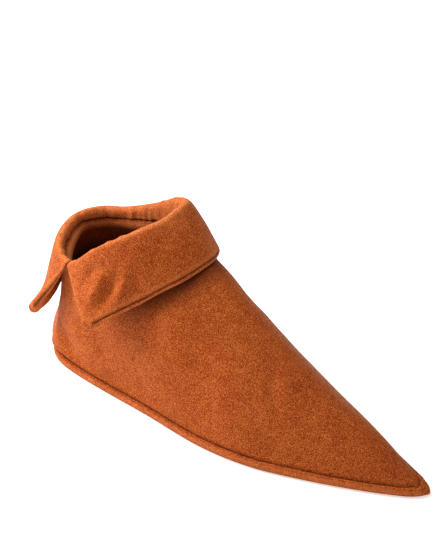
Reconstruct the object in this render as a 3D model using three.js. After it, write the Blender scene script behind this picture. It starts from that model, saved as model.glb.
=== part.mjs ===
// A pointed costume shoe of soft napped cloth: a thin cloth sole, a padded upper whose lower edge
// is turned out flat on the sole as a lip, an insole, and a wide turned-down cuff that is split on
// the right side into two pointed collar corners. Millimetres, +Z up,
// toe along +X, right side along -Y. The origin lies under the sole, halfway along it.
import * as THREE from 'three';

// Driving sizes
const length = 340; // heel to toe tip, over the lip
const ballWidth = 120; // widest place, over the lip
const lipWidth = 3.6; // how far the lip stands out from the wall
const lipThickness = 2.2; // the upper's turned-out edge
const soleThickness = 2.6;
const wall = 3; // outer cloth, foam and lining together
const heelHeight = 95; // topline seam above the floor at the back
const sideDip = 5; // how far the topline drops from the back to the sides
const instepHeight = 120; // topline seam above the floor at the throat
const splitSag = 6; // how far the topline dips at the split
const throatX = 115; // front of the topline seam
const toplineWidth = 77; // widest place of the topline seam
const toplineLean = 10; // how far the topline leans to the right of the sole
const heelLean = 14; // topline forward of the heel's foot at the back
const seat = 0.3; // clearance between pieces sewn face to face
const insoleThickness = 1.6;
const cuffThickness = 4; // two layers of cloth, turned
const cuffDepth = 51; // from the fold to the lower edge, at the back
const foldRadius = 2.4; // middle of the cuff's cloth where it turns over
const cuffBelly = 1.2; // how far the cuff swells out between fold and edge
const cuffLift = 0.7; // lower edge of the cuff's stand above the topline, whose edge slopes
const frontStand = 34; // a stand of 1 in the cuff's table, from the topline seam up to the fold

// How finely the curved walls are cut into faces
const ringSteps = 60;
const outerSteps = 15;
const innerSteps = 9;
const cuffSteps = 58;
const fallSteps = 7;
const foldSteps = 4;

// The sole's outline along the length: half width and middle line, both as shares of half the ball
// width. The middle line runs to the right of the heel and toe, whose left side is the straighter.
const outline = [
  { along: 0, half: 0, middle: 0 },
  { along: 0.01, half: 0.24, middle: 0 },
  { along: 0.04, half: 0.51, middle: 0 },
  { along: 0.1, half: 0.83, middle: 0 },
  { along: 0.2, half: 0.91, middle: 0 },
  { along: 0.35, half: 0.95, middle: 0 },
  { along: 0.5, half: 0.97, middle: -0.05 },
  { along: 0.65, half: 0.85, middle: -0.11 },
  { along: 0.78, half: 0.6, middle: -0.12 },
  { along: 0.88, half: 0.38, middle: -0.1 },
  { along: 0.95, half: 0.21, middle: -0.07 },
  { along: 0.985, half: 0.11, middle: -0.04 },
  { along: 1, half: 0, middle: -0.02 },
];

// The upper, level by level from the sole to the topline. nose: how far the front of the level
// has gone back from the toe to the throat; narrow: how far its width has gone from the sole's to
// the topline's; heel: how far its back stands behind the sole's, in shares of heelLean;
// round: 0 keeps the sole's pointed outline and 1 is an ellipse
const levels = [
  { rise: 0, nose: 0, narrow: 0, heel: 0, round: 0 },
  { rise: 0.03, nose: 0.0155, narrow: -0.02, heel: -0.02, round: 0.04 },
  { rise: 0.06, nose: 0.033, narrow: -0.02, heel: -0.02, round: 0.08 },
  { rise: 0.12, nose: 0.091, narrow: 0.02, heel: 0, round: 0.14 },
  { rise: 0.2, nose: 0.17, narrow: 0.1, heel: 0.05, round: 0.2 },
  { rise: 0.35, nose: 0.355, narrow: 0.26, heel: 0.2, round: 0.28 },
  { rise: 0.5, nose: 0.504, narrow: 0.46, heel: 0.42, round: 0.34 },
  { rise: 0.65, nose: 0.658, narrow: 0.66, heel: 0.62, round: 0.42 },
  { rise: 0.77, nose: 0.768, narrow: 0.81, heel: 0.78, round: 0.5 },
  { rise: 0.87, nose: 0.872, narrow: 0.91, heel: 0.9, round: 0.56 },
  { rise: 1, nose: 1, narrow: 1, heel: 1, round: 0.62 },
];

// The cuff round the topline, from the split by the back, the left side and the throat to the
// split again. turn: degrees round the topline from the back, over the right side at 90;
// stand: fold above the seam, as a share of frontStand; out, down and along: the way from the fold
// to the lower edge, as shares of cuffDepth; along is positive towards the split past the back
const cuffRows = [
  { turn: 69, stand: 0.04, out: 0.32, down: 0.99, along: 0.63 },
  { turn: 55, stand: 0.07, out: 0.28, down: 0.96, along: 0.41 },
  { turn: 42, stand: 0.11, out: 0.24, down: 0.94, along: 0.23 },
  { turn: 28, stand: 0.11, out: 0.22, down: 0.93, along: 0.12 },
  { turn: 0, stand: 0.125, out: 0.25, down: 0.95, along: 0.03 },
  { turn: -45, stand: 0.16, out: 0.29, down: 0.92, along: 0 },
  { turn: -64, stand: 0.215, out: 0.34, down: 0.92, along: 0 },
  { turn: -92, stand: 0.35, out: 0.42, down: 0.9, along: 0 },
  { turn: -120, stand: 0.56, out: 0.46, down: 0.88, along: 0 },
  { turn: -148, stand: 0.62, out: 0.45, down: 0.8, along: 0 },
  { turn: -163, stand: 0.67, out: 0.48, down: 0.72, along: 0 },
  { turn: -180, stand: 0.7, out: 0.55, down: 0.66, along: 0 },
  { turn: -204, stand: 0.59, out: 0.54, down: 0.65, along: -0.09 },
  { turn: -232, stand: 0.55, out: 0.47, down: 0.68, along: -0.28 },
  { turn: -246, stand: 0.52, out: 0.42, down: 0.66, along: -0.43 },
  { turn: -260, stand: 0.44, out: 0.38, down: 0.61, along: -0.55 },
  { turn: -274, stand: 0.26, out: 0.37, down: 0.55, along: -0.64 },
  { turn: -288, stand: 0.07, out: 0.37, down: 0.51, along: -0.75 },
];

// Smooth reading of one column of a table, with no overshoot between its rows
function read(rows, key, column, at) {
  const rising = rows[rows.length - 1][key] > rows[0][key] ? 1 : -1;
  const x = rows.map((row) => row[key] * rising);
  const y = rows.map((row) => row[column]);
  const here = Math.min(Math.max(at * rising, x[0]), x[x.length - 1]);
  let i = 0;
  while (i < x.length - 2 && here > x[i + 1]) i += 1;
  const step = (j) => (y[j + 1] - y[j]) / (x[j + 1] - x[j]);
  const tangent = (j) => {
    if (j === 0) return step(0);
    if (j === x.length - 1) return step(j - 1);
    const before = step(j - 1);
    const after = step(j);
    return before * after <= 0 ? 0 : (2 * before * after) / (before + after);
  };
  const span = x[i + 1] - x[i];
  const t = (here - x[i]) / span;
  const bend = (2 * t - 3) * t * t + 1;
  return bend * y[i] + (1 - bend) * y[i + 1]
    + span * t * (1 - t) * ((1 - t) * tangent(i) - t * tangent(i + 1));
}

// Heights that follow from the pieces below
const lipBottom = soleThickness + seat;
const lipTop = lipBottom + lipThickness;
const insoleTop = soleThickness + seat + insoleThickness;
const noseInset = 2.3; // the pointed toe goes back this far where its sides come in by one
const toeX = length - noseInset * lipWidth;
const toplineCurve = 1.6; // how late the topline climbs towards the throat
const heelStraight = 0.5; // how much less than its middle the back of the topline leans
const splitTurn = 70.5; // middle of the split, in degrees round the topline from the back
const splitSpread = 0.32; // how far along the topline the dip at the split reaches
const backSpread = 0.3; // how far along the topline its high back reaches

function toplineHeight(angle) {
  const share = (1 - Math.cos(angle)) / 2;
  const fromSplit = Math.sin((angle - THREE.MathUtils.degToRad(splitTurn)) / 2);
  const sag = splitSag * Math.exp(-((fromSplit / splitSpread) ** 2));
  const back = sideDip * Math.exp(-((Math.sin(angle / 2) / backSpread) ** 2));
  const sideHeight = heelHeight - sideDip;
  return sideHeight + (instepHeight - sideHeight) * share ** toplineCurve + back - sag;
}

function middleLine(x) {
  return (ballWidth / 2) * read(outline, 'along', 'middle', x / length);
}

// A point of the sole's outline, moved in by inset. The angle is 0 at the heel, a quarter turn on
// the right side and half a turn at the toe.
function outlinePoint(angle, inset, z) {
  const share = (1 - Math.cos(angle)) / 2;
  const half = (ballWidth / 2 - inset) * read(outline, 'along', 'half', share);
  const x = inset + (length - (1 + noseInset) * inset) * share;
  return new THREE.Vector3(x, middleLine(x) - Math.sign(Math.sin(angle)) * half, z);
}

// A point of the upper's outer face, or of the face that lies depth inside it
function upperPoint(angle, rise, depth) {
  const at = (column) => read(levels, 'rise', column, rise);
  const share = (1 - Math.cos(angle)) / 2;
  const heel = lipWidth + heelLean * at('heel') + depth;
  const pull = 1 + (noseInset - 1) * (1 - rise ** 8);
  const nose = toeX - (toeX - throatX) * at('nose') - pull * depth;
  const footHalf = ballWidth / 2 - lipWidth;
  const half = footHalf + (toplineWidth / 2 - footHalf) * at('narrow') - depth;
  const pointed = read(outline, 'along', 'half', share);
  const rounded = 2 * Math.sqrt(share * (1 - share));
  const shape = pointed + (rounded - pointed) * at('round');
  const side = -Math.sign(Math.sin(angle));
  const x = heel + (nose - heel) * share;
  const lean = 1 - share ** 3 - heelStraight * (1 - share) ** 6;
  const middle = middleLine(x) - toplineLean * at('narrow') * lean;
  const z = lipTop + (toplineHeight(angle) - lipTop) * rise;
  return new THREE.Vector3(x, middle + side * half * shape, z);
}

function ringAngles(steps) {
  return Array.from({ length: steps }, (_, i) => (2 * Math.PI * (i + 0.5)) / steps);
}

// Closes a mesh from rings of equal length. A looped mesh joins its last ring to its first.
function meshFromRings(rings, { looped, ringClosed }) {
  const count = rings[0].length;
  const positions = rings.flat().flatMap((p) => [p.x, p.y, p.z]);
  const index = [];
  const at = (r, c) => (r % rings.length) * count + (c % count);
  const quad = (a, b, c, d) => index.push(a, b, c, a, c, d);
  const ringSpans = looped ? rings.length : rings.length - 1;
  const spans = ringClosed ? count : count - 1;
  for (let r = 0; r < ringSpans; r += 1) {
    for (let c = 0; c < spans; c += 1) quad(at(r, c), at(r, c + 1), at(r + 1, c + 1), at(r + 1, c));
  }
  return { positions, index, at, quad };
}

function toGeometry({ positions, index }) {
  const geometry = new THREE.BufferGeometry();
  geometry.setAttribute('position', new THREE.Float32BufferAttribute(positions, 3));
  geometry.setIndex(index);
  return geometry;
}

// Turns the faces of a closed mesh outwards where its volume comes out negative
function facingOut(geometry) {
  const p = geometry.attributes.position;
  const index = geometry.index.array;
  const a = new THREE.Vector3();
  const b = new THREE.Vector3();
  const c = new THREE.Vector3();
  let volume = 0;
  for (let i = 0; i < index.length; i += 3) {
    a.fromBufferAttribute(p, index[i]);
    b.fromBufferAttribute(p, index[i + 1]);
    c.fromBufferAttribute(p, index[i + 2]);
    volume += a.dot(b.cross(c));
  }
  if (volume < 0) {
    for (let i = 0; i < index.length; i += 3) [index[i], index[i + 1]] = [index[i + 1], index[i]];
  }
  return geometry;
}

// A slab with the sole's outline. rim lists inset and height round its edge, from the underside
// up; the two faces are strips across from the right side to the left.
function slabGeometry(rim) {
  const angles = ringAngles(ringSteps);
  const rings = rim.map(({ inset, z }) => angles.map((angle) => outlinePoint(angle, inset, z)));
  const mesh = meshFromRings(rings, { looped: false, ringClosed: true });
  const last = rings.length - 1;
  for (let c = 0; c < ringSteps / 2 - 1; c += 1) {
    const across = ringSteps - 1 - c;
    mesh.quad(mesh.at(0, c), mesh.at(0, across), mesh.at(0, across - 1), mesh.at(0, c + 1));
    mesh.quad(mesh.at(last, c), mesh.at(last, c + 1), mesh.at(last, across - 1), mesh.at(last, across));
  }
  return facingOut(toGeometry(mesh));
}

// The sole: flat underneath from heel to toe, its edge rounded up to the lip
function soleGeometry() {
  const rounding = soleThickness * 0.6;
  return slabGeometry([
    { inset: rounding, z: 0 },
    { inset: rounding * 0.3, z: rounding * 0.3 },
    { inset: 0, z: rounding },
    { inset: 0, z: soleThickness },
  ]);
}

// The insole lies on the sole inside the upper's wall
function insoleGeometry() {
  const inset = lipWidth + wall + 4 * seat;
  const bottom = soleThickness + seat;
  return slabGeometry([
    { inset, z: bottom },
    { inset, z: insoleTop },
  ]);
}

// The upper: one wall from the lip to the topline, open at the collar and underneath
function upperGeometry() {
  const angles = ringAngles(ringSteps);
  const rounding = lipThickness * 0.5;
  const ring = (place) => angles.map(place);
  const outer = (rise) => ring((angle) => upperPoint(angle, rise, 0));
  const inner = (rise) => ring((angle) => upperPoint(angle, rise, wall));
  const flat = (inset, z) => ring((angle) => outlinePoint(angle, inset, z));
  const rings = [];
  for (let i = innerSteps; i >= 1; i -= 1) rings.push(inner((i / innerSteps) ** 1.4));
  rings.push(ring((angle) => upperPoint(angle, 0, wall).setZ(lipBottom)));
  rings.push(flat(0, lipBottom));
  rings.push(flat(0, lipTop - rounding));
  rings.push(flat(rounding, lipTop));
  rings.push(flat(lipWidth - rounding, lipTop));
  for (let i = 0; i <= outerSteps; i += 1) rings.push(outer((i / outerSteps) ** 1.25));
  return facingOut(toGeometry(meshFromRings(rings, { looped: true, ringClosed: true })));
}

// The middle of the cuff's cloth in one cut across it, from its seam up the stand, over the fold
// and down to the lower edge
const middleOfTopline = new THREE.Vector3((throatX + lipWidth) / 2, -toplineLean, 0);
const turnOver = Math.PI * 0.86;
function cuffPath(turn) {
  const angle = THREE.MathUtils.degToRad(turn);
  const seam = upperPoint(angle, 1, wall / 2);
  const nudge = 0.01;
  const ahead = upperPoint(angle - nudge, 1, wall / 2);
  const behind = upperPoint(angle + nudge, 1, wall / 2);
  const along = ahead.sub(behind).setZ(0).normalize();
  const outward = new THREE.Vector3(along.y, -along.x, 0);
  if (outward.dot(seam.clone().sub(middleOfTopline)) < 0) outward.negate();
  const at = (column) => read(cuffRows, 'turn', column, turn);
  const path = [];
  const add = (out, up, sweep) => path.push(
    seam.clone().addScaledVector(outward, out).addScaledVector(along, sweep).setZ(seam.z + up));
  const standTop = Math.max(frontStand * at('stand') - foldRadius, 2 * cuffLift);
  add(0, cuffLift, 0);
  add(0, standTop, 0);
  for (let i = 1; i <= foldSteps; i += 1) {
    const bend = (turnOver * i) / foldSteps;
    add(foldRadius * (1 - Math.cos(bend)), standTop + foldRadius * Math.sin(bend), 0);
  }
  const startOut = foldRadius * (1 - Math.cos(turnOver));
  const startUp = standTop + foldRadius * Math.sin(turnOver);
  const drop = cuffDepth * at('down');
  const reach = cuffDepth * at('out') - startOut;
  const sweep = cuffDepth * at('along');
  for (let i = 1; i <= fallSteps; i += 1) {
    const t = i / fallSteps;
    const belly = cuffBelly * Math.sin(Math.PI * t) * (1 - 0.4 * t);
    add(startOut + reach * t + belly, startUp - drop * t, sweep * t);
  }
  return path;
}

function cuffGeometry() {
  const first = cuffRows[0].turn;
  const last = cuffRows[cuffRows.length - 1].turn;
  const paths = Array.from({ length: cuffSteps + 1 }, (_, i) => (
    cuffPath(first + ((last - first) * i) / cuffSteps)));
  const columns = paths[0].length;
  const normalAt = (i, k) => {
    const round = paths[Math.min(i + 1, cuffSteps)][k].clone().sub(paths[Math.max(i - 1, 0)][k]);
    const across = paths[i][Math.min(k + 1, columns - 1)].clone().sub(paths[i][Math.max(k - 1, 0)]);
    return across.cross(round).normalize();
  };
  const rings = paths.map((path, i) => {
    const side = (sign) => path.map((point, k) => (
      point.clone().addScaledVector(normalAt(i, k), (sign * cuffThickness) / 2)));
    return [...side(1), ...side(-1).reverse()];
  });
  const mesh = meshFromRings(rings, { looped: false, ringClosed: true });
  const points = rings[0].length;
  const end = rings.length - 1;
  for (let k = 0; k < columns - 1; k += 1) {
    const back = points - 1 - k;
    mesh.quad(mesh.at(0, k), mesh.at(0, back), mesh.at(0, back - 1), mesh.at(0, k + 1));
    mesh.quad(mesh.at(end, k), mesh.at(end, k + 1), mesh.at(end, back - 1), mesh.at(end, back));
  }
  return facingOut(toGeometry(mesh));
}

const napped = (color) => new THREE.MeshStandardMaterial({ color, roughness: 0.95, metalness: 0 });
const pieces = [
  { name: 'sole', geometry: soleGeometry(), color: 0xa9552b },
  { name: 'insole', geometry: insoleGeometry(), color: 0x8a4524 },
  { name: 'upper', geometry: upperGeometry(), color: 0xb2592d },
  { name: 'cuff', geometry: cuffGeometry(), color: 0xbb6233 },
];

const shoe = new THREE.Group();
for (const { name, geometry, color } of pieces) {
  geometry.translate(-length / 2, 0, 0);
  const mesh = new THREE.Mesh(geometry, napped(color));
  mesh.name = name;
  shoe.add(mesh);
}

export default shoe;
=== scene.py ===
from math import cos, radians, sin

import bmesh
import bpy
import numpy as np
from mathutils import Matrix, Vector, noise
from mathutils.kdtree import KDTree


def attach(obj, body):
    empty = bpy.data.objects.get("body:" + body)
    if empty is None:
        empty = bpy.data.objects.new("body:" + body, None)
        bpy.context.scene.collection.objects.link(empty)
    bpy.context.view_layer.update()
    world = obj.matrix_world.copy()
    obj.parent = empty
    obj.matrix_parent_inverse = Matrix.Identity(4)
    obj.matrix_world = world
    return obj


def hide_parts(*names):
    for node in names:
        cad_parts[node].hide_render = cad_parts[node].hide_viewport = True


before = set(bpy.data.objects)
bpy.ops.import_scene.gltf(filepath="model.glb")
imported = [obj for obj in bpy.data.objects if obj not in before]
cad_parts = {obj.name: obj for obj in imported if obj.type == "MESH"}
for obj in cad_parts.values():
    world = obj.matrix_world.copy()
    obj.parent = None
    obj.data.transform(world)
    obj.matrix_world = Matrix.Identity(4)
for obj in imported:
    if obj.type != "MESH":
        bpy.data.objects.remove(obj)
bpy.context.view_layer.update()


# Upper
# One wall of napped cloth over thin padding, lined with the same cloth. Its lower edge is turned
# out flat on the sole and topstitched, so the wall dips into a dark line just above the lip.

SHARP = radians(50)  # an edge that turns more than this is a border of a piece of cloth
STEP = 0.0005  # between the points of a row


def only(piece):
    """Selects one piece alone and makes it the active one."""
    bpy.ops.object.select_all(action="DESELECT")
    piece.select_set(True)
    bpy.context.view_layer.objects.active = piece


def cut_from(node, name):
    """A copy of a solid with its corners joined and its triangles paired."""
    piece = bpy.data.objects.new(name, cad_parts[node].data.copy())
    bpy.context.collection.objects.link(piece)
    piece.data.materials.clear()
    only(piece)
    bpy.ops.object.mode_set(mode="EDIT")
    bpy.ops.mesh.select_all(action="SELECT")
    bpy.ops.mesh.remove_doubles(threshold=0.00002)
    bpy.ops.mesh.tris_convert_to_quads(face_threshold=radians(60), shape_threshold=radians(80))
    bpy.ops.object.mode_set(mode="OBJECT")
    return piece


def choose(piece, kind, chosen):
    """Goes into edit mode with only the chosen points, edges or faces of a piece selected."""
    only(piece)
    bpy.ops.object.mode_set(mode="EDIT")
    kinds = ("vertices", "edges", "polygons")
    bpy.context.tool_settings.mesh_select_mode = [kind == one for one in kinds]
    bpy.ops.mesh.select_all(action="DESELECT")
    bpy.ops.object.mode_set(mode="OBJECT")
    getattr(piece.data, kind).foreach_set("select", np.asarray(chosen, bool))
    bpy.ops.object.mode_set(mode="EDIT")


def places(piece):
    at = np.empty(len(piece.data.vertices) * 3)
    piece.data.vertices.foreach_get("co", at)
    return at.reshape(-1, 3)


def put(piece, at):
    piece.data.vertices.foreach_set("co", at.ravel())
    piece.data.update()


def facing(piece):
    out = np.empty(len(piece.data.vertices) * 3)
    piece.data.vertex_normals.foreach_get("vector", out)
    return out.reshape(-1, 3)


def edge_turns(piece):
    """How far the surface turns at each edge, positive outwards, and the two ends of each edge."""
    mesh = bmesh.new()
    mesh.from_mesh(piece.data)
    turns = np.array([edge.calc_face_angle_signed(0) for edge in mesh.edges])
    ends = np.array([[point.index for point in edge.verts] for edge in mesh.edges])
    mesh.free()
    return turns, ends


def hold(piece, chosen, share):
    """Keeps the chosen edges of a piece from being rounded away, by a share."""
    choose(piece, "edges", chosen)
    bpy.ops.transform.edge_crease(value=share)
    bpy.ops.object.mode_set(mode="OBJECT")


def rounded(piece, rounds):
    only(piece)
    rounding = piece.modifiers.new("rounding", "SUBSURF")
    rounding.levels = rounding.render_levels = rounds
    bpy.ops.object.modifier_apply(modifier="rounding")
    bpy.ops.object.shade_smooth_by_angle(angle=SHARP)


def row_along(at, ends):
    """Points close together along edges."""
    row = []
    for a, b in ends:
        steps = max(2, int(np.linalg.norm(at[b] - at[a]) / STEP))
        row.extend(at[a] + (at[b] - at[a]) * i / steps for i in range(steps + 1))
    return row


def laid_on(piece, row):
    """The points of a row moved onto the nearest place of a piece."""
    return [piece.closest_point_on_mesh(Vector(point))[1] for point in row]


def away_from(at, row):
    """Distance of each place from a row of points."""
    tree = KDTree(len(row))
    for i, point in enumerate(row):
        tree.insert(point, i)
    tree.balance()
    return np.array([tree.find(place)[2] for place in at])


def bump(distance, reach):
    """1 on a line, falling softly to 0 a few times its reach away."""
    return np.exp(-(distance / reach) ** 2)


def ramp_up(values, start, span):
    """0 up to start, rising evenly to 1 a span further on."""
    return np.clip((values - start) / span, 0, 1)


def marked(piece, name, values):
    piece.data.attributes.new(name, "FLOAT", "POINT").data.foreach_set("value", values)


def crease(at, out, path, reach, height):
    """A soft ridge, or a trough where height is negative, along a path on the outer face. It is
    lower towards the path's two ends, and both faces of the cloth move with it."""
    path = np.array(path)
    nearest = [np.argmin(((at - point) ** 2).sum(axis=1)) for point in path]
    lean = out[nearest].mean(axis=0)
    lean /= np.linalg.norm(lean)
    starts, spans = path[:-1], np.diff(path, axis=0)
    lengths = np.linalg.norm(spans, axis=1)
    done = np.concatenate([[0], np.cumsum(lengths)[:-1]])
    near = np.full(len(at), 1.0)
    share = np.zeros(len(at))
    for start, span, length, before in zip(starts, spans, lengths, done):
        t = np.clip((at - start) @ span / length ** 2, 0, 1)
        off = np.linalg.norm(at - start - t[:, None] * span, axis=1)
        closer = off < near
        near[closer] = off[closer]
        share[closer] = (before + t[closer] * length) / lengths.sum()
    weight = bump(near, reach) * np.clip(4 * share * (1 - share), 0.3, 1)
    at += weight[:, None] * lean * height


def uneven(at, out, size, height, seed):
    """Hand-made unevenness: soft swells of a given size and height."""
    for i, point in enumerate(at):
        place = Vector(point) / size + Vector((seed, 2 * seed, 3 * seed))
        at[i] += out[i] * (noise.noise(place) * height)


LIP_TOP = 0.0051
LIP_TURN = radians(35)  # the wall turns at least this far inwards where it meets the lip
FOOT_TOP = 0.0032  # the edges that rest on the sole are below this
ANKLE = 0.06  # everything that belongs to the collar is above this

upper = cut_from("upper", "upper_cloth")
at = places(upper)
turns, ends = edge_turns(upper)
height = at[ends][:, :, 2].mean(axis=1)
lip_row = row_along(at, ends[(turns < -LIP_TURN) & (abs(height - LIP_TOP) < 0.0008)])
collar_row = row_along(at, ends[(turns > SHARP) & (height > ANKLE)])
hold(upper, (turns > SHARP) & (height < FOOT_TOP), 1)
hold(upper, (turns > SHARP) & (height > ANKLE), 0.6)
rounded(upper, 2)

# The two cloths of the wall are joined by a seam that runs from the split down to the lip. Three
# cuts are made across the wall there, and the middle one is drawn in.
RIGHT_SIDE = -0.02  # the shoe's right side lies beyond this
seam_foot = np.array((-0.1307, -0.048, 0.005))
seam_run = np.array((0.0117, -0.002, 0.085))
across_seam = np.array((seam_run[2], 0, -seam_run[0])) / np.linalg.norm(seam_run[[0, 2]])
for offset in (-0.0012, 0, 0.0012):
    middle = np.array([face.center for face in upper.data.polygons])
    near_seam = abs((middle - seam_foot) @ across_seam) < 0.02
    choose(upper, "polygons", near_seam & (middle[:, 1] < RIGHT_SIDE))
    bpy.ops.mesh.bisect(plane_co=seam_foot + across_seam * offset, plane_no=across_seam)
    bpy.ops.object.mode_set(mode="OBJECT")

# A face of the cloth is on the inside where it looks towards a line that runs low through the
# shoe from heel to toe. The lip's own top, which looks up, is outside.
LINE_HEEL, LINE_TOE, LINE_SIDE, LINE_HEIGHT = -0.12, 0.1, -0.006, 0.012
at, out = places(upper), facing(upper)
centre = np.column_stack([
    np.clip(at[:, 0], LINE_HEEL, LINE_TOE),
    np.full(len(at), LINE_SIDE),
    np.full(len(at), LINE_HEIGHT),
])
inside = (((at - centre) * out).sum(axis=1) < 0) & (out[:, 2] < 0.5)
outwards = np.where(inside[:, None], -out, out)
FAR_OFF = 1  # farther than anything on the shoe
lip_seam = away_from(at, laid_on(upper, lip_row))
lip_seam[inside | (at[:, 2] > 0.02)] = FAR_OFF
wall = ramp_up(at[:, 2], 0.0052, 0.005)
uneven(at, outwards * wall[:, None], size=0.05, height=0.0016, seed=4)
uneven(at, outwards * wall[:, None], size=0.018, height=0.0004, seed=8)

# The lip's padding swells beside the stitched groove and rises towards it
swell, groove = 0.0006 * bump(lip_seam - 0.003, 0.0016), 0.0002 * bump(lip_seam, 0.0005)
at += outwards * (swell - groove)[:, None]
rise_reach = np.where(at[:, 2] > LIP_TOP, 0.007, 0.0038)
at[:, 2] += 0.0009 * np.clip(1 - lip_seam / rise_reach, 0, 1) ** 0.8

# At the heel the padding hangs over the lip, and inside, under the topline, it swells into the
# shoe, most of all at the heel's right side
heel_ring = np.array([
    (-0.143, -0.042, 0.009), (-0.152, -0.037, 0.009), (-0.163, -0.014, 0.01),
    (-0.163, 0.014, 0.01), (-0.15, 0.037, 0.01),
])
near_heel = away_from(at, row_along(heel_ring, [(0, 1), (1, 2), (2, 3), (3, 4)]))
at += outwards * (wall * 0.0048 * bump(near_heel, 0.013))[:, None]
below_topline = away_from(at, collar_row)
lining_top = inside & (at[:, 2] > ANKLE)
at_heel = ramp_up(-at[:, 0], 0.12, 0.02)
puffed = 0.0022 + 0.0032 * at_heel * ramp_up(-at[:, 1], -0.002, 0.015)
at -= outwards * (puffed * lining_top * bump(below_topline - 0.006, 0.004))[:, None]
side_seam = abs((at - seam_foot) @ across_seam)
side_seam[inside | (at[:, 1] > RIGHT_SIDE) | (at[:, 2] < 0.007)] = FAR_OFF
at -= outwards * 0.00025 * bump(side_seam, 0.001)[:, None]

# Soft troughs and ridges of the wall: an arc under the front of the cuff and two lines from it to
# the toe, a slack dent half way to the toe, a trough low behind the heel under a puffed side, the
# slack below the front flap, a dent near the toe, and three on the left side
for path, reach, height in [
    ([(-0.036, -0.034, 0.086), (-0.0282, -0.0195, 0.0972),
      (-0.02, -0.0073, 0.1003), (-0.0104, -0.0034, 0.0963)], 0.0035, 0.0009),
    ([(-0.025, -0.0144, 0.0993), (-0.009, -0.0062, 0.0951), (0.0082, 0.0005, 0.0853)],
     0.005, 0.0009),
    ([(-0.04, -0.03, 0.09), (-0.014, -0.018, 0.093), (0.004, -0.008, 0.085)], 0.006, -0.0011),
    ([(0.0455, -0.0186, 0.0611), (0.0521, -0.0267, 0.0498), (0.0577, -0.0336, 0.0391)],
     0.005, -0.0016),
    ([(0.053, -0.0146, 0.0605), (0.0601, -0.0227, 0.0495), (0.0657, -0.0296, 0.0391)],
     0.006, 0.001),
    ([(-0.1345, -0.0436, 0.035), (-0.1298, -0.0456, 0.0224),
      (-0.1197, -0.0481, 0.0165), (-0.1082, -0.0501, 0.0121)], 0.005, -0.0018),
    ([(-0.1392, -0.0402, 0.0493), (-0.1184, -0.0472, 0.0356),
      (-0.0909, -0.0511, 0.0234), (-0.0499, -0.0538, 0.0153)], 0.008, 0.0012),
    ([(-0.0786, -0.0496, 0.0619), (-0.063, -0.0472, 0.0728), (-0.05, -0.04, 0.0833)],
     0.009, -0.0006),
    ([(-0.0111, -0.0314, 0.0752), (0.0023, -0.0422, 0.0528), (0.0186, -0.0511, 0.0306)],
     0.013, -0.0016),
    ([(0.09, -0.012, 0.038), (0.1, -0.017, 0.025)], 0.006, -0.0009),
    ([(0.01, 0.042, 0.05), (0.02, 0.044, 0.02)], 0.012, -0.0018),
    ([(-0.06, 0.047, 0.07), (-0.05, 0.052, 0.03)], 0.012, -0.0016),
    ([(-0.14, 0.03, 0.06), (-0.13, 0.042, 0.025)], 0.009, -0.0018),
]:
    crease(at, out, path, reach, height)
put(upper, at)

# Marks for the cloth's colour: the dark seams, painted highlight under the topline and on the lip,
# and painted shade deep inside
collar_seam = away_from(at, collar_row)
topline = bump(away_from(at, laid_on(upper, collar_row)), 0.0012) * (collar_seam < 0.006)
seams = np.maximum(bump(lip_seam, 0.0004), 0.12 * bump(side_seam, 0.0006))
marked(upper, "seam", np.maximum(seams, 0.8 * topline))
# Painted highlight, kept in the wear mark: the band of lining under the topline is lightened as if
# lit, most at the heel's right side, and so is the lip's swell beside its groove
lit_share = 0.4 + 0.6 * at_heel * ramp_up(-at[:, 1], -0.002, 0.015)
painted_band_light = lining_top * lit_share * bump(below_topline - 0.005, 0.004)
painted_lip_light = 0.25 * (at[:, 2] < 0.0056) * bump(lip_seam - 0.003, 0.0015)
marked(upper, "wear", np.maximum(painted_band_light, painted_lip_light))
# Painted shade: the inside is darkened more the farther it lies below the collar seam
marked(upper, "depth", inside * ramp_up(collar_seam, 0.012, 0.025))


class Number:
    """A socket that carries one number, so that shader maths reads as a plain expression."""

    def __init__(self, finish, socket):
        self.finish, self.socket = finish, socket

    def maths(self, operation, *values):
        return self.finish.add("ShaderNodeMath", {"operation": operation}, dict(enumerate(values)))

    def __add__(self, other): return self.maths("ADD", self, other)
    def __radd__(self, other): return self.maths("ADD", other, self)
    def __sub__(self, other): return self.maths("SUBTRACT", self, other)
    def __rsub__(self, other): return self.maths("SUBTRACT", other, self)
    def __mul__(self, other): return self.maths("MULTIPLY", self, other)
    def __rmul__(self, other): return self.maths("MULTIPLY", other, self)


class Finish:
    """A material, and the one way in which its nodes are added."""

    def __init__(self, name, **constants):
        self.material = bpy.data.materials.new(name)
        self.material.use_nodes = True
        self.tree = self.material.node_tree
        self.shader = self.tree.nodes["Principled BSDF"]
        for socket, value in constants.items():
            self.shader.inputs[socket.replace("_", " ")].default_value = value
        self.place = self.add("ShaderNodeTexCoord", {}, {}, "Object")

    def add(self, kind, settings, inputs, output=0):
        node = self.tree.nodes.new(kind)
        for name, value in settings.items():
            if name == "stops":
                ramp = node.color_ramp
                for (where, shade), stop in zip(value, [ramp.elements[0], ramp.elements[1]]):
                    stop.position, stop.color = where, (*shade, 1)
                for where, shade in value[2:]:
                    ramp.elements.new(where).color = (*shade, 1)
            else:
                setattr(node, name, value)
        self.join(node, inputs)
        return Number(self, node.outputs[output])

    def join(self, node, inputs):
        for name, value in inputs.items():
            if isinstance(value, Number):
                self.tree.links.new(value.socket, node.inputs[name])
            else:
                node.inputs[name].default_value = value

    def wear(self, piece):
        piece.data.materials.append(self.material)


def speckle(finish, size, detail, rough=0.5):
    """Noise whose patches are about size metres across."""
    return finish.add("ShaderNodeTexNoise", {}, {
        "Vector": finish.place, "Scale": 1 / size, "Detail": detail, "Roughness": rough,
    })


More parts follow.
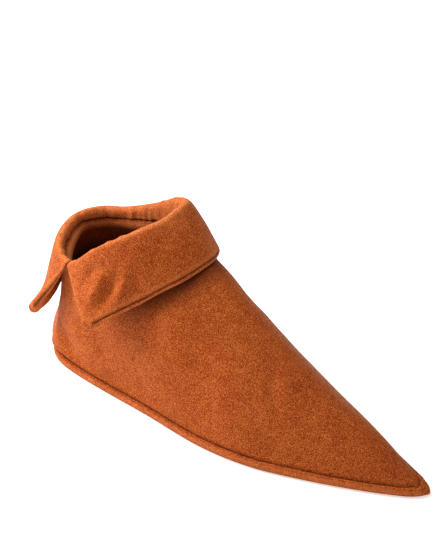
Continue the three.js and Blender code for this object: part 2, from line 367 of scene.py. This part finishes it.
# Colours of the marks: painted highlight, the dark of seams that also serves as painted shadow,
# and painted shade deep inside
PAINTED_HIGHLIGHT, SEAM_AND_SHADOW_DARK, PAINTED_SHADE_DARK = (0.6, 0.17, 0.06), (0.06, 0.008, 0.001), (0.022, 0.001, 0.0002)
MIX_SHARE, MIX_UNDER, MIX_OVER, MIX_COLOUR = 0, 6, 7, 2  # sockets of the mix of two colours


def nap(name, dark, middle, light, sheen=0.13):
    """Short napped cloth: patches where the nap lies differently, and a fine fleck of fibres. It
    is lighter with painted highlight where the wear mark says, darker in seams, and darker with
    painted shade deep inside and painted shadow under the cuff's front edge."""
    finish = Finish(name, Sheen_Weight=sheen, Sheen_Roughness=0.4, Sheen_Tint=(1, 0.52, 0.22, 1),
                    Specular_IOR_Level=0.08)
    patch = speckle(finish, 0.026, 3, 0.6)
    blotch = speckle(finish, 0.007, 3, 0.6)
    fleck = speckle(finish, 0.0009, 3, 0.8)
    fibre = speckle(finish, 0.00045, 1, 0.5)
    tone = (0.5 + (patch - 0.5) * 0.4 + (blotch - 0.5) * 0.45
            + (fleck - 0.5) * 2.8 + (fibre - 0.5) * 1.9)
    colour = finish.add("ShaderNodeValToRGB", {
        "stops": [(0.1, dark), (0.9, light), (0.5, middle)],
    }, {"Fac": tone})
    # The dark line of a seam breaks up along its length
    broken = 0.45 + 1.1 * speckle(finish, 0.0025, 1)
    # The wear mark lays on painted highlight, the seam mark darkens the seams, and the deep-shade
    # and shade marks lay on painted shade and painted shadow
    for mark, shade, way in (
        ("wear", PAINTED_HIGHLIGHT, "SCREEN"), ("seam", SEAM_AND_SHADOW_DARK, "MIX"),
        ("depth", PAINTED_SHADE_DARK, "MIX"), ("shade", SEAM_AND_SHADOW_DARK, "MIX"),
    ):
        share = finish.add("ShaderNodeAttribute", {"attribute_name": mark}, {}, "Fac")
        if mark == "seam":
            share = share * broken
        colour = finish.add("ShaderNodeMix", {"data_type": "RGBA", "blend_type": way}, {
            MIX_SHARE: share, MIX_UNDER: colour, MIX_OVER: (*shade, 1),
        }, MIX_COLOUR)
    relief = finish.add("ShaderNodeBump", {}, {
        "Strength": 0.8, "Distance": 0.0004, "Height": fleck * 0.7 + fibre * 0.4 + blotch * 0.7,
    })
    finish.join(finish.shader, {
        "Base Color": colour,
        "Roughness": 0.6 + fleck * 0.2,
        "Normal": relief,
    })
    return finish


outer_nap = nap("nap_outer", (0.2, 0.019, 0.0006), (0.365, 0.055, 0.0032), (0.67, 0.18, 0.04))
outer_nap.wear(upper)
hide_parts("upper")
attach(upper, "root")


# Sole
# A thin slab of the same cloth on a firmer backing, sewn to the lip all round. Its edge rolls up
# to meet the lip, and its underside is worn smooth and a little darker.

SOLE_TOP = 0.0026
SOLE_TO_LIP = 0.00028  # how far the top rises to touch the lip
SOLE_EDGE = SOLE_TOP - 0.0002  # what belongs to the sole's top is above this

sole = cut_from("sole", "sole_cloth")
at = places(sole)
turns, ends = edge_turns(sole)
hold(sole, (turns > SHARP) & (at[ends][:, :, 2].mean(axis=1) > SOLE_EDGE), 1)
rounded(sole, 2)
at = places(sole)
at[at[:, 2] > SOLE_EDGE, 2] += SOLE_TO_LIP
put(sole, at)
under_nap = nap("nap_under", (0.18, 0.03, 0.004), (0.3, 0.06, 0.011), (0.42, 0.11, 0.026), 0.1)
outer_nap.wear(sole)
under_nap.wear(sole)
for face in sole.data.polygons:
    face.material_index = int(face.normal.z < -0.9)
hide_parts("sole")
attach(sole, "root")


# Insole
# A loose sheet of the lining cloth, cut a little smaller than the sole. It lies on the sole inside
# the wall and shows only through the collar.

insole = cut_from("insole", "insole_cloth")
rounded(insole, 2)
# The whole insole is darkened with painted shade, as the inside of the shoe
marked(insole, "depth", np.ones(len(insole.data.vertices)))
outer_nap.wear(insole)
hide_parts("insole")
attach(insole, "root")


# Cuff
# Two layers of napped cloth turned right side out, sewn to the topline, then folded down outside.
# The seam of the two layers runs in a groove along the edge, nearer the outer layer in front.

STAND_FOOT = 0.0028  # the points sewn to the topline are nearer to it than this
TOPLINE_MIDDLE = np.array((-0.1107, -0.01))
EDGE_WIDTH = 0.006  # the two borders of the cuff's edge are nearer to each other than this


def drawn_out(at, ends, movers, anchors, length):
    """Moves points away from the neighbours that anchor them, and says which points moved."""
    pairs = np.concatenate([ends, ends[:, ::-1]])
    pairs = pairs[movers[pairs[:, 0]] & anchors[pairs[:, 1]]]
    moved = np.zeros(len(at), bool)
    moved[pairs[:, 0]] = True
    total, count = np.zeros_like(at), np.zeros(len(at))
    np.add.at(total, pairs[:, 0], at[pairs[:, 1]])
    np.add.at(count, pairs[:, 0], 1)
    away = at[moved] - total[moved] / count[moved, None]
    at[moved] += away / np.linalg.norm(away, axis=1)[:, None] * length
    return moved


def middle_of(at, pair):
    return at[list(pair)].mean(axis=0)


cuff = cut_from("cuff", "cuff_cloth")
at = places(cuff)
turns, ends = edge_turns(cuff)
sharp = turns > SHARP
stand_foot = away_from(at, collar_row) < STAND_FOOT
at[stand_foot, 2] -= 0.0004
put(cuff, at)

# Rounding draws the free edge and its corners in, so they are drawn out first
free = np.zeros(len(at), bool)
free[ends[sharp]] = True
free &= ~stand_foot
moved = drawn_out(at, ends, free, ~free, 0.0021)
drawn_out(at, ends, free & ~moved, free, 0.0028)
put(cuff, at)
hold(cuff, sharp & stand_foot[ends].all(axis=1), 0.6)

# The seam runs between the two borders of the edge, and in front it rolls up onto the outer
# face. The inner border of the front flap is kept, because it shades the wall below.
edge_seam, front_edge = [], []
sharp_pairs = {tuple(sorted(pair)) for pair in ends[sharp].tolist()}
for face in cuff.data.polygons:
    borders = [pair for pair in face.edge_keys if pair in sharp_pairs]
    if len(borders) != 2 or set(borders[0]) & set(borders[1]):
        continue
    near, far = sorted(
        borders, key=lambda pair: np.linalg.norm(middle_of(at, pair)[:2] - TOPLINE_MIDDLE))
    middle = middle_of(at, far)
    if np.linalg.norm(middle - middle_of(at, near)) >= EDGE_WIDTH:
        continue
    if abs(at[far[0]] - at[near[0]]).sum() > abs(at[far[0]] - at[near[1]]).sum():
        near = near[::-1]
    in_front = np.clip((middle[0] + 0.1) / 0.02, 0, 1) * (middle[1] < 0.02)
    share = 0.5 - 0.5 * in_front
    away = middle[:2] - TOPLINE_MIDDLE
    roll_over = np.append(-0.6 * away / np.linalg.norm(away), 0.8) * 0.0029 * in_front
    points = [at[a] + (at[b] - at[a]) * share + roll_over for a, b in zip(far, near)]
    edge_seam += row_along(np.array(points), [(0, 1)])
    if in_front > 0.9 and middle[0] > -0.076:
        front_edge += row_along(at, [near])
rounded(cuff, 3)

at, out = places(cuff), facing(cuff)
rim = away_from(at, laid_on(cuff, edge_seam))
uneven(at, out, size=0.03, height=0.001, seed=9)

# The inner face of the stand is puckered by the seam under it
turn = np.arctan2(at[:, 1] - TOPLINE_MIDDLE[1], at[:, 0] - TOPLINE_MIDDLE[0])
inner = ((at[:, :2] - TOPLINE_MIDDLE) * out[:, :2]).sum(axis=1) < 0
at_collar = away_from(at, collar_row)
stand_inside = inner & (at_collar < 0.03)
for i in np.flatnonzero(stand_inside):
    place = Vector((turn[i] * 8, at[i, 2] * 22, 4))
    at[i] += out[i] * noise.noise(place) * 0.0011

# The padding fills the two corners at the split, the rear one most, and the edge's seam draws in
for side, puff, reach in ((at[:, 0] < -0.12, 0.0024, 0.034), (at[:, 0] > -0.1, 0.0011, 0.01)):
    corner = np.where(side & (at[:, 1] < RIGHT_SIDE), at[:, 2], FAR_OFF).argmin()
    at += out * (puff * bump(away_from(at, [at[corner]]), reach))[:, None]
at -= out * (bump(rim, 0.0009) * 0.001)[:, None]

# Folds of the front flap: two troughs and two ridges near its corner, and two slight dents beyond
for path, reach, height in [
    ([(-0.0865, -0.051, 0.1076), (-0.0921, -0.0535, 0.1022),
      (-0.0957, -0.0563, 0.0953), (-0.0982, -0.0594, 0.0864)], 0.0042, -0.0018),
    ([(-0.0808, -0.0511, 0.105), (-0.0844, -0.0561, 0.0949),
      (-0.0864, -0.0608, 0.0854), (-0.0883, -0.0644, 0.0778)], 0.0042, 0.0024),
    ([(-0.0726, -0.0499, 0.1019), (-0.0753, -0.0535, 0.0958),
      (-0.0772, -0.0581, 0.088), (-0.079, -0.0628, 0.0803)], 0.004, -0.0036),
    ([(-0.0666, -0.0435, 0.1096), (-0.0662, -0.0475, 0.1008),
      (-0.0683, -0.0531, 0.0909), (-0.0704, -0.0585, 0.0834)], 0.0042, 0.0026),
    ([(-0.0601, -0.0402, 0.1098), (-0.0603, -0.0447, 0.0993), (-0.0596, -0.0491, 0.0908)],
     0.005, -0.0013),
    ([(-0.0499, -0.0113, 0.1371), (-0.0536, -0.0234, 0.1291), (-0.0543, -0.0337, 0.1157)],
     0.009, -0.0009),
]:
    crease(at, out, path, reach, height)
put(cuff, at)
marked(cuff, "seam", np.maximum(bump(rim, 0.0006), bump(at_collar, 0.0007)))
# Painted highlight, kept in the wear mark: faces of the cuff that look up are lightened as if lit
# from above, and so are the inside of the stand and a band along the puffed edge
painted_top_light = np.clip(np.maximum(out[:, 2] - 0.55, 0.22 * stand_inside), 0, 0.45)
marked(cuff, "wear", np.maximum(painted_top_light, 0.2 * bump(rim - 0.0025, 0.0015)))

# Painted shadow: the wall is darkened just below the front edge and around the top of the split,
# where the cuff's shadow falls
split_top = (-0.1175, -0.0465, 0.086)
wall_at = places(upper)
painted_edge_shadow = 0.88 * np.clip(1.1 - away_from(wall_at, front_edge) / 0.016, 0, 1) ** 1.5
painted_split_shadow = 0.85 * bump(away_from(wall_at, [split_top]), 0.006)
marked(upper, "shade", np.maximum(painted_edge_shadow, painted_split_shadow))
outer_nap.wear(cuff)
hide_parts("cuff")
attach(cuff, "root")


# Stage
# A pale floor under a soft light from the upper left, beyond the heel, and a weaker one overhead,
# and the camera at the photo's angle to the shoe.

bpy.ops.object.select_all(action="DESELECT")
bpy.ops.mesh.primitive_plane_add(size=8, location=(0, 0, -0.0002))
floor = bpy.context.object
floor.name = "floor"
pale = Finish("floor_pale", Base_Color=(0.95, 0.95, 0.95, 1), Roughness=0.9,
              Emission_Color=(1, 1, 1, 1), Emission_Strength=0.5)
pale.wear(floor)

world = bpy.data.worlds.new("studio")
bpy.context.scene.world = world
world.use_nodes = True
world.node_tree.nodes["Background"].inputs["Color"].default_value = (1, 1, 1, 1)
world.node_tree.nodes["Background"].inputs["Strength"].default_value = 0.34
bpy.context.scene.view_settings.view_transform = "Standard"


COLLAR = (-0.1, 0, 0.08)


def soft_light(name, place, size, power):
    """A square area light at place that shines at the collar."""
    light = bpy.data.objects.new(name, bpy.data.lights.new(name, "AREA"))
    light.data.shape = "SQUARE"
    light.data.size = size
    light.data.energy = power
    aim = Vector(COLLAR) - Vector(place)
    turned = aim.to_track_quat("-Z", "Y").to_matrix().to_4x4()
    light.matrix_world = Matrix.Translation(place) @ turned
    bpy.context.collection.objects.link(light)


soft_light("key", (-0.55, -0.22, 0.46), size=0.34, power=5.4)
soft_light("overhead", (-0.12, -0.06, 0.75), size=0.4, power=2.2)

# The camera's place, its directions before it is rolled, and its lens for a film 36 mm high
CAMERA_PLACE = (0.9706, -1.1479, 1.1356)
forward = Vector((-0.5410, 0.6263, -0.5614))
right = Vector((0.7568, 0.6537, 0))
up = Vector((-0.3670, 0.4249, 0.8276))
ROLL = radians(-0.97)
FILM_HEIGHT = 36
FOCAL_PIXELS, PHOTO_HEIGHT = 2600, 537
across = cos(ROLL) * right + sin(ROLL) * up
upright = -sin(ROLL) * right + cos(ROLL) * up
camera = bpy.data.objects.new("camera", bpy.data.cameras.new("camera"))
turned = Matrix((across, upright, -forward)).transposed().to_4x4()
camera.matrix_world = Matrix.Translation(CAMERA_PLACE) @ turned
camera.data.sensor_fit = "VERTICAL"
camera.data.sensor_height = FILM_HEIGHT
camera.data.lens = FOCAL_PIXELS / PHOTO_HEIGHT * FILM_HEIGHT
bpy.context.collection.objects.link(camera)
bpy.context.scene.camera = camera
